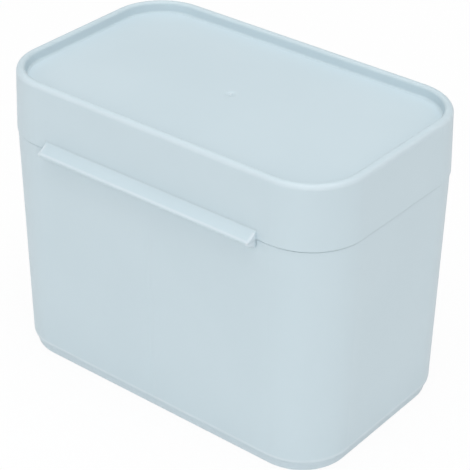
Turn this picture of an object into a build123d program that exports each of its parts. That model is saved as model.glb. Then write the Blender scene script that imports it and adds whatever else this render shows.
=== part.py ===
from build123d import *
import math
import os

os.makedirs("parts", exist_ok=True)

# A lidded desktop storage box, moulded in two shells that a pair of pinned hinges joins at the rear.
# Millimetres and degrees. The box stands on z = 0 with its front towards -Y and its plan centred on Z.

# Overall form
box_height = 130.0
rim_width = 164.2
rim_depth = 99.3
corner_radius = 24.5
lid_height = 27.05
seam_gap = 0.3
lid_draft = 1.9
body_draft = 1.0
body_step = 0.35
wall = 2.4
seam_round = 0.15

# Foot ring and floor of the body
foot_height = 4.55
foot_inset = 1.5
foot_draft = 1.0
foot_round = 0.5
step_round = 0.6
base_recess = 3.0
floor_round = 1.5

# Fixed partition across the middle of the body
partition_drop = 13.0
partition_thickness = 1.6
partition_draft = 0.4
partition_round = 0.6

# Tongue round the mouth of the body, which stands in a rebate of the lid
tongue_thickness = 1.05
tongue_height = 3.0
tongue_clearance = 0.25
tongue_headroom = 0.4
tongue_round = 0.3

# Raised rim and sunk top panel of the lid
rim_thickness = 3.5
rim_round = 2.1
rim_flat = 0.1
panel_depth = 4.7
panel_draft = 2.0
panel_round = 1.0
ceiling_round = 1.5

# Mark left by the moulding gate at the middle of the top panel
gate_dimple_radius = 2.5
gate_dimple_depth = 0.35
gate_nub_radius = 0.6
gate_nub_height = 0.25

# Finger lip along the front edge of the lid
lip_length = 105.6
lip_reach = 6.4
lip_rise = 3.7
lip_hang = 3.5
lip_tip_rise = 0.2
lip_hollow = 0.6
lip_tip_round = 0.9
lip_end_round = 0.4
lip_clearance = 0.35

# Hinges
barrel_radius = 2.6
barrel_gap = 0.35
pin_radius = 1.0
pin_press = 0.01
pin_running = 0.05
pin_chamfer = 0.25
knuckle_round = 0.3
lid_knuckle = 12.0
body_knuckle = 8.0
knuckle_gap = 0.3
hinge_margin = 0.7
web_offset = 0.9
web_height = 9.0
heel_start = 1.0
opening_angle = 100.0
stop_slack = 2.0

# What follows from these sizes
seam_height = box_height - lid_height
lid_bottom = seam_height + seam_gap / 2
lid_flare = (box_height - lid_bottom) * math.tan(math.radians(lid_draft))
lid_width = rim_width + 2 * lid_flare
lid_depth = rim_depth + 2 * lid_flare
panel_top = box_height - panel_depth
rim_mouth_round = rim_thickness - rim_round - rim_flat
ceiling = panel_top - wall

mouth = seam_height - seam_gap / 2
body_width = lid_width - 2 * body_step
body_depth = lid_depth - 2 * body_step
body_radius = corner_radius - body_step
inner_width = body_width - 2 * wall
inner_depth = body_depth - 2 * wall
inner_radius = body_radius - wall

foot_setback = foot_inset + (mouth - foot_height) * math.tan(math.radians(body_draft))
foot_width = body_width - 2 * foot_setback
foot_depth = body_depth - 2 * foot_setback
foot_radius = body_radius - foot_setback
floor_height = base_recess + wall
partition_top = mouth - partition_drop
partition_foot = partition_thickness + 2 * partition_top * math.tan(math.radians(partition_draft))

tongue_width = inner_width + 2 * tongue_thickness
tongue_depth = inner_depth + 2 * tongue_thickness
tongue_radius = inner_radius + tongue_thickness
rebate_height = tongue_height + tongue_headroom - seam_gap

flange = (lid_depth - tongue_depth) / 2 - tongue_clearance
lip_root = -lid_depth / 2 + flange / 2
lip_crease = -lid_depth / 2 + (lip_rise - seam_gap / 2) * math.tan(math.radians(lid_draft))
lip_tip = -lid_depth / 2 - lip_reach
lip_back = -body_depth / 2 - lip_clearance
gate_sphere = (gate_dimple_radius**2 + gate_dimple_depth**2) / (2 * gate_dimple_depth)

hinge_length = lid_knuckle + 2 * (body_knuckle + knuckle_gap)
hinge_centre = rim_width / 2 - corner_radius - hinge_margin - hinge_length / 2
hinge_y = lid_depth / 2 + barrel_gap + barrel_radius
hinge_z = seam_height


def facing_down(height):
    """A sketch plane at a height, from which extrusions run downwards."""
    return Plane(origin=(0, 0, height), x_dir=(1, 0, 0), z_dir=(0, 0, -1))


def tangent_point(x, y, side):
    """Where the line from a point about the hinge axis touches a barrel: side is 1 or -1."""
    spread = math.acos(barrel_radius / math.hypot(x, y))
    angle = math.atan2(y, x) + side * spread
    return barrel_radius * math.cos(angle), barrel_radius * math.sin(angle)


def knuckle_web(root_y, side):
    """Outline of the web from inside a rear wall to a barrel: side is 1 above the hinge axis, -1 below it."""
    reach = root_y - hinge_y
    return [
        (reach, side * web_offset),
        (0, side * web_offset),
        tangent_point(reach, side * web_height, -side),
        (reach, side * web_height),
    ]


def stop_heel():
    """Outline of the heel on a lid knuckle, whose face meets the body's rear wall when the lid is open."""
    lean = math.radians(opening_angle + stop_slack - 90)
    along = Vector(math.cos(lean), math.sin(lean))
    face = Vector(math.sin(lean), -math.cos(lean)) * (hinge_y - body_depth / 2)
    toe = along * heel_start + face
    heel = along * barrel_radius + face
    back = along * barrel_radius
    return [
        (0, 0),
        tangent_point(toe.X, toe.Y, -1),
        (toe.X, toe.Y),
        (heel.X, heel.Y),
        (back.X, back.Y),
    ]


def knuckle(length, bore_radius, outlines):
    """A bored hinge barrel about the X axis, with the webs that carry it."""
    with BuildPart() as piece:
        with BuildSketch(Plane.YZ):
            Circle(barrel_radius)
            for outline in outlines:
                with BuildLine():
                    Polyline(*outline, close=True)
                make_face()
        extrude(amount=length / 2, both=True)
        fillet(piece.faces().filter_by(Axis.X).edges(), radius=knuckle_round)
        with BuildSketch(Plane.YZ):
            Circle(bore_radius)
        extrude(amount=length / 2, both=True, mode=Mode.SUBTRACT)
    return piece.part


body_web = knuckle_web((body_depth - wall) / 2, -1)
body_barrel = knuckle(body_knuckle, pin_radius - pin_press, [body_web])
body_offset = (hinge_length - body_knuckle) / 2
body_barrel_places = [
    (side * hinge_centre + end * body_offset, hinge_y, hinge_z) for side in (-1, 1) for end in (-1, 1)
]
lid_web = knuckle_web((lid_depth - flange) / 2, 1)
lid_barrel = knuckle(lid_knuckle, pin_radius + pin_running, [lid_web, stop_heel()])
lid_barrel_places = [(side * hinge_centre, hinge_y, hinge_z) for side in (-1, 1)]

# The space inside the body: a drafted well that the partition parts
with BuildPart() as hollow:
    with BuildSketch(facing_down(mouth)):
        RectangleRounded(inner_width, inner_depth, inner_radius)
    extrude(amount=mouth - floor_height, taper=body_draft)
    fillet(hollow.edges().group_by(Axis.Z)[0], radius=floor_round)
    with BuildSketch(Plane.XZ) as partition_section:
        with BuildLine():
            Polyline(
                (-partition_foot / 2, 0),
                (-partition_thickness / 2, partition_top),
                (partition_thickness / 2, partition_top),
                (partition_foot / 2, 0),
                close=True,
            )
        make_face()
        fillet(partition_section.vertices().group_by(Axis.Y)[-1], radius=partition_round)
    extrude(amount=body_depth, both=True, mode=Mode.SUBTRACT)

# The body: drafted walls on an inset foot ring, with the tongue and the lower knuckles
with BuildPart() as body:
    with BuildSketch(facing_down(mouth)):
        RectangleRounded(body_width, body_depth, body_radius)
    extrude(amount=mouth - foot_height, taper=body_draft)
    fillet(body.edges().group_by(Axis.Z)[0], radius=step_round)
    fillet(body.edges().group_by(Axis.Z)[-1], radius=seam_round)
    with BuildSketch(facing_down(foot_height)):
        RectangleRounded(foot_width, foot_depth, foot_radius)
    extrude(amount=foot_height, taper=foot_draft)
    fillet(body.edges().group_by(Axis.Z)[0], radius=foot_round)
    with BuildSketch(Plane.XY):
        RectangleRounded(foot_width - 2 * wall, foot_depth - 2 * wall, foot_radius - wall)
    extrude(amount=base_recess, taper=foot_draft, mode=Mode.SUBTRACT)
    with BuildSketch(Plane.XY.offset(mouth)):
        RectangleRounded(tongue_width, tongue_depth, tongue_radius)
    extrude(amount=tongue_height)
    fillet(body.edges().group_by(Axis.Z)[-1], radius=tongue_round)
    with BuildSketch(Plane.XY.offset(mouth)):
        RectangleRounded(inner_width, inner_depth, inner_radius)
    extrude(amount=tongue_height, mode=Mode.SUBTRACT)
    add(hollow.part, mode=Mode.SUBTRACT)
    with Locations(*body_barrel_places):
        add(body_barrel)
body.part.label = "body"

# The finger lip: a wedge with a hollow face that hangs in front of the seam, clear of the body
with BuildPart() as lip:
    with BuildSketch(Plane.YZ) as lip_section:
        with BuildLine():
            Polyline(
                (lip_tip, seam_height + lip_tip_rise),
                (lip_back, seam_height - lip_hang),
                (lip_back, lid_bottom),
                (lip_root, lid_bottom),
                (lip_root, seam_height + lip_rise),
                (lip_crease, seam_height + lip_rise),
            )
            SagittaArc(
                (lip_crease, seam_height + lip_rise),
                (lip_tip, seam_height + lip_tip_rise),
                lip_hollow,
            )
        make_face()
        fillet(lip_section.vertices().sort_by(Axis.X)[0], radius=lip_tip_round)
    extrude(amount=lip_length / 2, both=True)
    lip_ends = lip.faces().filter_by(Axis.X).edges()
    outer_ends = lip_ends.filter_by_position(Axis.Y, lip_tip, lip_back, inclusive=(True, False))
    fillet(outer_ends, radius=lip_end_round)

# The lid: a drafted shell with a raised rim, a sunk panel, the finger lip and the upper knuckles
with BuildPart() as lid:
    with BuildSketch(Plane.XY.offset(lid_bottom)):
        RectangleRounded(lid_width, lid_depth, corner_radius)
    extrude(amount=box_height - lid_bottom, taper=lid_draft)
    fillet(lid.edges().group_by(Axis.Z)[-1], radius=rim_round)
    fillet(lid.edges().group_by(Axis.Z)[0], radius=seam_round)
    with BuildSketch(facing_down(box_height)):
        RectangleRounded(
            rim_width - 2 * rim_thickness,
            rim_depth - 2 * rim_thickness,
            corner_radius - lid_flare - rim_thickness,
        )
    extrude(amount=panel_depth, taper=panel_draft, mode=Mode.SUBTRACT)
    fillet(lid.edges(Select.LAST).group_by(Axis.Z)[-1], radius=rim_mouth_round)
    panel = lid.faces().filter_by(Axis.Z).sort_by(Axis.Z)[-2]
    fillet(panel.outer_wire().edges(), radius=panel_round)
    with BuildSketch(Plane.XY.offset(lid_bottom)):
        RectangleRounded(lid_width - 2 * wall, lid_depth - 2 * wall, corner_radius - wall)
    extrude(amount=ceiling - lid_bottom, taper=lid_draft, mode=Mode.SUBTRACT)
    fillet(lid.edges(Select.LAST).group_by(Axis.Z)[-1], radius=ceiling_round)
    with BuildSketch(Plane.XY.offset(lid_bottom)):
        RectangleRounded(
            tongue_width + 2 * tongue_clearance,
            tongue_depth + 2 * tongue_clearance,
            tongue_radius + tongue_clearance,
        )
    extrude(amount=rebate_height, mode=Mode.SUBTRACT)
    add(lip.part)
    with Locations((0, 0, panel_top - gate_dimple_depth)):
        Sphere(gate_sphere, align=(Align.CENTER, Align.CENTER, Align.MIN), mode=Mode.SUBTRACT)
        Cylinder(gate_nub_radius, gate_nub_height, align=(Align.CENTER, Align.CENTER, Align.MIN))
    with Locations(*lid_barrel_places):
        add(lid_barrel)
lid.part.label = "lid"

export_step(body.part, "parts/body.step")
export_step(lid.part, "parts/lid.step")

# The pins, pressed into the body knuckles and free in the lid knuckles
for side, name in ((-1, "hinge_pin_left"), (1, "hinge_pin_right")):
    with BuildPart() as pin:
        with BuildSketch(Plane.YZ.offset(side * hinge_centre)):
            with Locations((hinge_y, hinge_z)):
                Circle(pin_radius)
        extrude(amount=hinge_length / 2, both=True)
        chamfer(pin.edges().filter_by(GeomType.CIRCLE), length=pin_chamfer)
    pin.part.label = name
    export_step(pin.part, f"parts/{name}.step")
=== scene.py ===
import math

import bmesh
import bpy
from mathutils import Matrix, Vector


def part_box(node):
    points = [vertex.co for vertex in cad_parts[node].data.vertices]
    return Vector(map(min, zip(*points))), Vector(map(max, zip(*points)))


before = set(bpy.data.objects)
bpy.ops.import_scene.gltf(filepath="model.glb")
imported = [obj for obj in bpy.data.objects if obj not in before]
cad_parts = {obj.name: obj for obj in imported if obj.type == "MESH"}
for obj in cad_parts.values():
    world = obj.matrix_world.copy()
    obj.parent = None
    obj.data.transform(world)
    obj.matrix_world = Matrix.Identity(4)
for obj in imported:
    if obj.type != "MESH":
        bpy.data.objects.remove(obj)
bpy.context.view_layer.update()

# Lengths are metres in the frame of the CAD part: front towards -Y, standing on z = 0.
MM = 0.001

# Places on the box: its ends are read from the frame, the others are the CAD part's own
lid_low, lid_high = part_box("lid")
RIM_TOP = lid_high.z
RIM_HALF_WIDTH = 82.1 * MM
RIM_HALF_DEPTH = 49.65 * MM
CORNER_RADIUS = 24.5 * MM
PANEL_TOP = RIM_TOP - 4.7 * MM
LIP_TIP = lid_low.y
LIP_HALF = 52.8 * MM
LIP_EDGE = 103.1 * MM
LIP_CREASE = 106.9 * MM
LIP_WALL = -51.0 * MM
SEAM = 102.95 * MM
WALL_OUTSIDE = -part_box("body")[0].y
PARTITION_TOP = 90 * MM
FOOT_TOP = 4.55 * MM

# Camera, as fitted to the edges of the box in the photograph
CAMERA_AIM = Vector((3.08 * MM, 0, 61.56 * MM))
CAMERA_DISTANCE = 711.5 * MM
CAMERA_AZIMUTH = math.radians(38.37)
CAMERA_ELEVATION = math.radians(31.53)
CAMERA_ROLL = math.radians(0.70)
CAMERA_LENS = 132.7
CAMERA_SENSOR = 36.0

# Lights: softboxes by azimuth and elevation in degrees, width in metres and power in watts
LIGHT_AIM = Vector((0, 0, 60 * MM))
LIGHT_DISTANCE = 2.6
TENT_STRENGTH = 0.36
SOFTBOXES = (
    ("overhead", 0, 90, 2.8, 41.0),
    ("camera_high", 40, 48, 2.8, 19.6),
    ("camera_low", 42, 12, 1.6, 10.3),
    ("left", -45, 24, 1.0, 6.7),
    ("rear_right", 146, 30, 1.0, 3.2),
)

# Colours, scene linear
PLASTIC_DEEP = (0.576, 0.687, 0.739, 1)
PLASTIC_PALE = (0.589, 0.699, 0.751, 1)
# Worn plastic, also the colour of painted highlights and painted light
PLASTIC_WEAR_AND_HIGHLIGHT = (0.70, 0.77, 0.82, 1)
# Colour of painted shade in the crease and at the seam
PLASTIC_PAINTED_SHADE = (0.40, 0.47, 0.50, 1)
STEEL_DULL = (0.50, 0.51, 0.52, 1)
STEEL_BRIGHT = (0.60, 0.61, 0.62, 1)
FLOOR_WHITE = (0.925, 0.925, 0.925, 1)
PAPER_WHITE = (1, 1, 1, 1)

# Gloss
PLASTIC_IOR = 1.49
PLASTIC_ROUGHNESS = 0.38
STEEL_ROUGHNESS = 0.24

# Floor: its size, and the share of plain white in what the camera sees of it
FLOOR_SIZE = 6.0
FLOOR_GLOW = 0.92

# Relief of the moulded and drawn surfaces
MICRON = 0.001 * MM
GRAIN_DEPTH = 5 * MICRON
WAVE_DEPTH = 14 * MICRON
SINK_DEPTH = 120 * MICRON
FLOW_DEPTH = 1.5 * MICRON
FLOW_SPACING = 7 * MM
DRAWN_DEPTH = 3 * MICRON

# Wear, painted light and highlights, and painted shade, as shares of the wear-and-highlight colour and
# the shade colour
RIM_PAINTED_HIGHLIGHT = 0.25
LIP_END_PAINTED_HIGHLIGHT = 0.8
GATE_WEAR = 0.9
FOOT_PAINTED_LIGHT = 0.3
FOOT_EDGE_WEAR = 0.2
STEP_PAINTED_HIGHLIGHT = 0.6
CREASE_PAINTED_SHADE = 0.16
SEAM_PAINTED_SHADE = 0.15


class Value:
    """A node socket that takes part in plain arithmetic: each operator adds a Math node."""

    def __init__(self, finish, socket):
        self.finish = finish
        self.socket = socket

    def maths(self, operation, *terms):
        inputs = dict(enumerate(terms))
        return self.finish.node("ShaderNodeMath", {"operation": operation}, inputs)["Value"]

    def __add__(self, other):
        return self.maths("ADD", self, other)

    def __sub__(self, other):
        return self.maths("SUBTRACT", self, other)

    def __rsub__(self, other):
        return self.maths("SUBTRACT", other, self)

    def __mul__(self, other):
        return self.maths("MULTIPLY", self, other)

    def __pow__(self, other):
        return self.maths("POWER", self, other)

    def __abs__(self):
        return self.maths("ABSOLUTE", self)

    __radd__ = __add__
    __rmul__ = __mul__

    def highest(self, other):
        return self.maths("MAXIMUM", self, other)

    def lowest(self, other):
        return self.maths("MINIMUM", self, other)

    def sine(self):
        return self.maths("SINE", self)

    def ramp(self, start, end):
        """0 before start, 1 after end, smooth between them."""
        settings = {"interpolation_type": "SMOOTHSTEP"}
        inputs = {"Value": self, "From Min": start, "From Max": end}
        return self.finish.node("ShaderNodeMapRange", settings, inputs)["Result"]


class Finish:
    """A material under construction."""

    def __init__(self, name):
        self.material = bpy.data.materials.new(name)
        self.material.use_nodes = True
        self.tree = self.material.node_tree
        self.tree.nodes.clear()

    def node(self, kind, settings={}, inputs={}):
        """Adds a node, sets its settings, then its sockets, and returns its outputs by name."""
        made = self.tree.nodes.new(kind)
        for name, setting in settings.items():
            setattr(made, name, setting)
        for key, value in inputs.items():
            if isinstance(value, Value):
                self.tree.links.new(value.socket, made.inputs[key])
            else:
                made.inputs[key].default_value = value
        return {output.name: Value(self, output) for output in made.outputs if output.enabled}

    def place(self):
        """The place on the piece, and its three coordinates in metres."""
        here = self.node("ShaderNodeTexCoord")["Object"]
        parts = self.node("ShaderNodeSeparateXYZ", {}, {"Vector": here})
        return here, parts["X"], parts["Y"], parts["Z"]

    def noise(self, here, size, detail=2.0, stretch=(1, 1, 1)):
        """Noise whose lumps are about size across, stretched along the axes."""
        scale = [1 / (size * factor) for factor in stretch]
        scaled = self.node("ShaderNodeMapping", {}, {"Vector": here, "Scale": scale})["Vector"]
        inputs = {"Vector": scaled, "Scale": 1.0, "Detail": detail}
        return self.node("ShaderNodeTexNoise", {}, inputs)["Fac"]

    def mix(self, amount, first, second):
        """Two colours mixed by an amount."""
        inputs = {"Factor": amount, "A": first, "B": second}
        return self.node("ShaderNodeMix", {"data_type": "RGBA"}, inputs)["Result"]

    def bump(self, height):
        """The normal of a surface with a relief, whose height is in metres."""
        inputs = {"Height": height, "Distance": 1.0, "Strength": 1.0}
        return self.node("ShaderNodeBump", {}, inputs)["Normal"]

    def shade(self, surface, **constants):
        """The shader itself: what varies is linked, what is the same all over is set on its socket."""
        shader = self.node("ShaderNodeBsdfPrincipled", {}, {**surface, **constants})["BSDF"]
        self.node("ShaderNodeOutputMaterial", {}, {"Surface": shader})
        return self.material


def etched_plastic(finish, here, wear_and_painted_light, painted_shade, relief):
    """Satin polypropylene: the shares of wear with painted light and of painted shade run from 0 to 1,
    relief is a height in metres.
    """
    cloud = finish.noise(here, 45 * MM, detail=3.0)
    speck = finish.noise(here, 1.8 * MM)
    grain = finish.noise(here, 0.45 * MM)
    waves = finish.noise(here, 14 * MM)
    tint = finish.mix(cloud.ramp(0.3, 0.7), PLASTIC_DEEP, PLASTIC_PALE)
    # Wear, painted highlights and painted light mixed into the colour
    worn_and_highlit = finish.mix(wear_and_painted_light, tint, PLASTIC_WEAR_AND_HIGHLIGHT)
    height = grain * GRAIN_DEPTH * (1 - wear_and_painted_light) + waves * WAVE_DEPTH + relief
    surface = {
        "Base Color": finish.mix(painted_shade, worn_and_highlit, PLASTIC_PAINTED_SHADE),
        "Roughness": PLASTIC_ROUGHNESS + 0.05 * cloud + 0.05 * speck - 0.08 * wear_and_painted_light,
        "Normal": finish.bump(height),
    }
    return finish.shade(surface, **{"IOR": PLASTIC_IOR})


def seam_shade(z):
    """Painted shade at the height of the seam."""
    return SEAM_PAINTED_SHADE * (1 - abs(z - SEAM).ramp(0.2 * MM, 0.5 * MM))


def foot_wear_and_light(finish, here, z):
    """Scuffs at the foot's lower edge, painted light on the foot band, and a painted highlight along
    the edge of the step above it.
    """
    foot_patchiness = 0.6 + 0.4 * finish.noise(here, 5 * MM, stretch=(2, 2, 0.2)).ramp(0.45, 0.7)
    foot = 1 - z.ramp(FOOT_TOP - 0.2 * MM, FOOT_TOP + 0.2 * MM)
    foot_edge = 1 - z.ramp(0.2 * MM, 2 * MM)
    step_edge = 1 - abs(z - (FOOT_TOP + 1.2 * MM)).ramp(0.2 * MM, 0.9 * MM)
    return (FOOT_PAINTED_LIGHT * foot + FOOT_EDGE_WEAR * foot_edge + STEP_PAINTED_HIGHLIGHT * step_edge) * foot_patchiness


def partition_sink(x, y, z):
    """1 where the long walls are sunk a little, outside the partition."""
    along_partition = 1 - abs(x).ramp(0, 1.8 * MM)
    on_walls = abs(y).ramp(WALL_OUTSIDE - 8 * MM, WALL_OUTSIDE - 6 * MM)
    return along_partition * on_walls * (1 - z.ramp(PARTITION_TOP - 6 * MM, PARTITION_TOP))


def body_plastic():
    """The plastic of the body."""
    finish = Finish("body_plastic")
    here, x, y, z = finish.place()
    # Scuffs, painted light on the foot band and a painted highlight on the step's edge; painted shade
    # at the seam
    wear_and_painted_light = foot_wear_and_light(finish, here, z)
    relief = partition_sink(x, y, z) * -SINK_DEPTH
    return etched_plastic(finish, here, wear_and_painted_light, seam_shade(z), relief)


def inset(x, y):
    """How far a place lies inside the outline of the rim, seen from above."""
    across = abs(x) - (RIM_HALF_WIDTH - CORNER_RADIUS)
    along = abs(y) - (RIM_HALF_DEPTH - CORNER_RADIUS)
    past_x = across.highest(0.0)
    past_y = along.highest(0.0)
    from_corner = (past_x * past_x + past_y * past_y) ** 0.5
    return CORNER_RADIUS - from_corner - across.highest(along).lowest(0.0)


def rim_shoulder(x, y, z):
    """The outer edge of the rim, where a highlight is painted."""
    return z.ramp(RIM_TOP - 2.4 * MM, RIM_TOP - 1.2 * MM) * (1 - inset(x, y).ramp(0.3 * MM, 1.3 * MM))


def lip_edges(x, y, z):
    """The nose of the finger lip and the edges at its ends, where highlights are painted."""
    nose = (1 - y.ramp(LIP_TIP + 0.3 * MM, LIP_TIP + 1.4 * MM)) * z.ramp(LIP_EDGE, LIP_EDGE + 0.8 * MM)
    off_wall = 1 - y.ramp(LIP_WALL - 0.4 * MM, LIP_WALL)
    ends = abs(x).ramp(LIP_HALF - 1.6 * MM, LIP_HALF - 0.6 * MM) * off_wall
    return nose.highest(LIP_END_PAINTED_HIGHLIGHT * ends)


def lip_crease(x, y, z):
    """The crease between the lip and the front of the lid, where shade is painted."""
    in_front = 1 - y.ramp(LIP_WALL + 1.2 * MM, LIP_WALL + 1.5 * MM)
    along_lip = 1 - abs(x).ramp(LIP_HALF, LIP_HALF + 1 * MM)
    return (1 - abs(z - LIP_CREASE).ramp(0.2 * MM, 0.9 * MM)) * along_lip * in_front


def flow_rings(finish, here, from_gate):
    """Faint rings that the plastic left as it ran out from the gate, from -1 to 1."""
    drift = finish.noise(here, 20 * MM) * (8 * MM)
    rings = ((from_gate + drift) * (2 * math.pi / FLOW_SPACING)).sine()
    return rings * (1 - from_gate.ramp(6 * MM, 45 * MM))


def lid_plastic():
    """The plastic of the lid."""
    finish = Finish("lid_plastic")
    here, x, y, z = finish.place()
    from_gate = (x * x + y * y) ** 0.5
    on_panel = z.ramp(PANEL_TOP - 1.7 * MM, PANEL_TOP - 0.9 * MM)
    gate_scar = (1 - from_gate.ramp(0.3 * MM, 1 * MM)) * on_panel
    # Uneven strength of the painted highlights and the gate scar's whitening
    patchiness = 0.7 + 0.3 * finish.noise(here, 7 * MM, stretch=(3, 3, 1)).ramp(0.3, 0.75)
    # Painted highlights on the rim's outer edge and the lip's nose and ends, with a whitened gate scar
    wear_and_painted_light = (RIM_PAINTED_HIGHLIGHT * rim_shoulder(x, y, z) + lip_edges(x, y, z) + GATE_WEAR * gate_scar) * patchiness
    # Painted shade in the lip's crease and at the seam
    painted_shade = CREASE_PAINTED_SHADE * lip_crease(x, y, z) + seam_shade(z)
    relief = flow_rings(finish, here, from_gate) * FLOW_DEPTH
    return etched_plastic(finish, here, wear_and_painted_light, painted_shade, relief)


def drawn_steel():
    """Drawn steel wire, with fine lines along the pin."""
    finish = Finish("pin_steel")
    here = finish.place()[0]
    lines = finish.noise(here, 0.2 * MM, stretch=(40, 1, 1))
    stain = finish.noise(here, 4 * MM)
    surface = {
        "Base Color": finish.mix(stain, STEEL_DULL, STEEL_BRIGHT),
        "Roughness": STEEL_ROUGHNESS + 0.14 * lines,
        "Normal": finish.bump(lines * DRAWN_DEPTH),
    }
    return finish.shade(surface, **{"Metallic": 1.0})


def dress(node, material):
    """Gives a CAD node its finish."""
    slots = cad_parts[node].data.materials
    slots.clear()
    slots.append(material)


pin_steel = drawn_steel()
dress("body", body_plastic())
dress("lid", lid_plastic())
dress("hinge_pin_left", pin_steel)
dress("hinge_pin_right", pin_steel)


def white_floor(size):
    """A pale floor that reads as white and keeps a soft shadow."""
    shape = bmesh.new()
    bmesh.ops.create_grid(shape, x_segments=1, y_segments=1, size=size / 2)
    mesh = bpy.data.meshes.new("floor")
    shape.to_mesh(mesh)
    shape.free()
    floor = bpy.data.objects.new("floor", mesh)
    bpy.context.scene.collection.objects.link(floor)
    finish = Finish("floor_paper")
    rays = finish.node("ShaderNodeLightPath")
    seen = rays["Is Camera Ray"].highest(rays["Is Glossy Ray"]).highest(rays["Is Transmission Ray"])
    paper = finish.node("ShaderNodeBsdfDiffuse", {}, {"Color": FLOOR_WHITE})["BSDF"]
    glow = finish.node("ShaderNodeEmission", {}, {"Color": PAPER_WHITE, "Strength": 1.0})["Emission"]
    look = finish.node("ShaderNodeMixShader", {}, {0: seen * FLOOR_GLOW, 1: paper, 2: glow})["Shader"]
    finish.node("ShaderNodeOutputMaterial", {}, {"Surface": look})
    mesh.materials.append(finish.material)


def softbox(name, azimuth, elevation, width, power):
    """A square soft light, turned to the middle of the box."""
    lamp = bpy.data.lights.new(name, "AREA")
    lamp.size = width
    lamp.energy = power
    away = Vector(
        (
            math.sin(azimuth) * math.cos(elevation),
            -math.cos(azimuth) * math.cos(elevation),
            math.sin(elevation),
        )
    )
    stand = bpy.data.objects.new(name, lamp)
    stand.location = LIGHT_AIM + away * LIGHT_DISTANCE
    stand.rotation_euler = (-away).to_track_quat("-Z", "Y").to_euler()
    bpy.context.scene.collection.objects.link(stand)


def light_tent(strength):
    """Even white light from all round, white to the camera."""
    world = bpy.data.worlds.new("light_tent")
    bpy.context.scene.world = world
    world.use_nodes = True
    tree = world.node_tree
    tree.nodes.clear()
    glow = tree.nodes.new("ShaderNodeBackground")
    glow.inputs["Color"].default_value = PAPER_WHITE
    rays = tree.nodes.new("ShaderNodeLightPath")
    level = tree.nodes.new("ShaderNodeMapRange")
    level.inputs["To Min"].default_value = strength
    level.inputs["To Max"].default_value = 1.0
    tree.links.new(rays.outputs["Is Camera Ray"], level.inputs["Value"])
    tree.links.new(level.outputs["Result"], glow.inputs["Strength"])
    output = tree.nodes.new("ShaderNodeOutputWorld")
    tree.links.new(glow.outputs["Background"], output.inputs["Surface"])


def photo_camera():
    """The camera at the photograph's place."""
    lens = bpy.data.cameras.new("photo_camera")
    lens.lens = CAMERA_LENS
    lens.sensor_width = CAMERA_SENSOR
    lens.clip_start = 0.05
    camera = bpy.data.objects.new("photo_camera", lens)
    ahead = Vector(
        (
            -math.sin(CAMERA_AZIMUTH) * math.cos(CAMERA_ELEVATION),
            math.cos(CAMERA_AZIMUTH) * math.cos(CAMERA_ELEVATION),
            -math.sin(CAMERA_ELEVATION),
        )
    )
    turn = ahead.to_track_quat("-Z", "Y").to_matrix().to_4x4()
    roll = Matrix.Rotation(CAMERA_ROLL, 4, "Z")
    camera.matrix_world = Matrix.Translation(CAMERA_AIM - ahead * CAMERA_DISTANCE) @ turn @ roll
    bpy.context.scene.collection.objects.link(camera)
    bpy.context.scene.camera = camera


white_floor(FLOOR_SIZE)
light_tent(TENT_STRENGTH)
for name, azimuth, elevation, width, power in SOFTBOXES:
    softbox(name, math.radians(azimuth), math.radians(elevation), width, power)
photo_camera()
bpy.context.scene.view_settings.view_transform = "Standard"
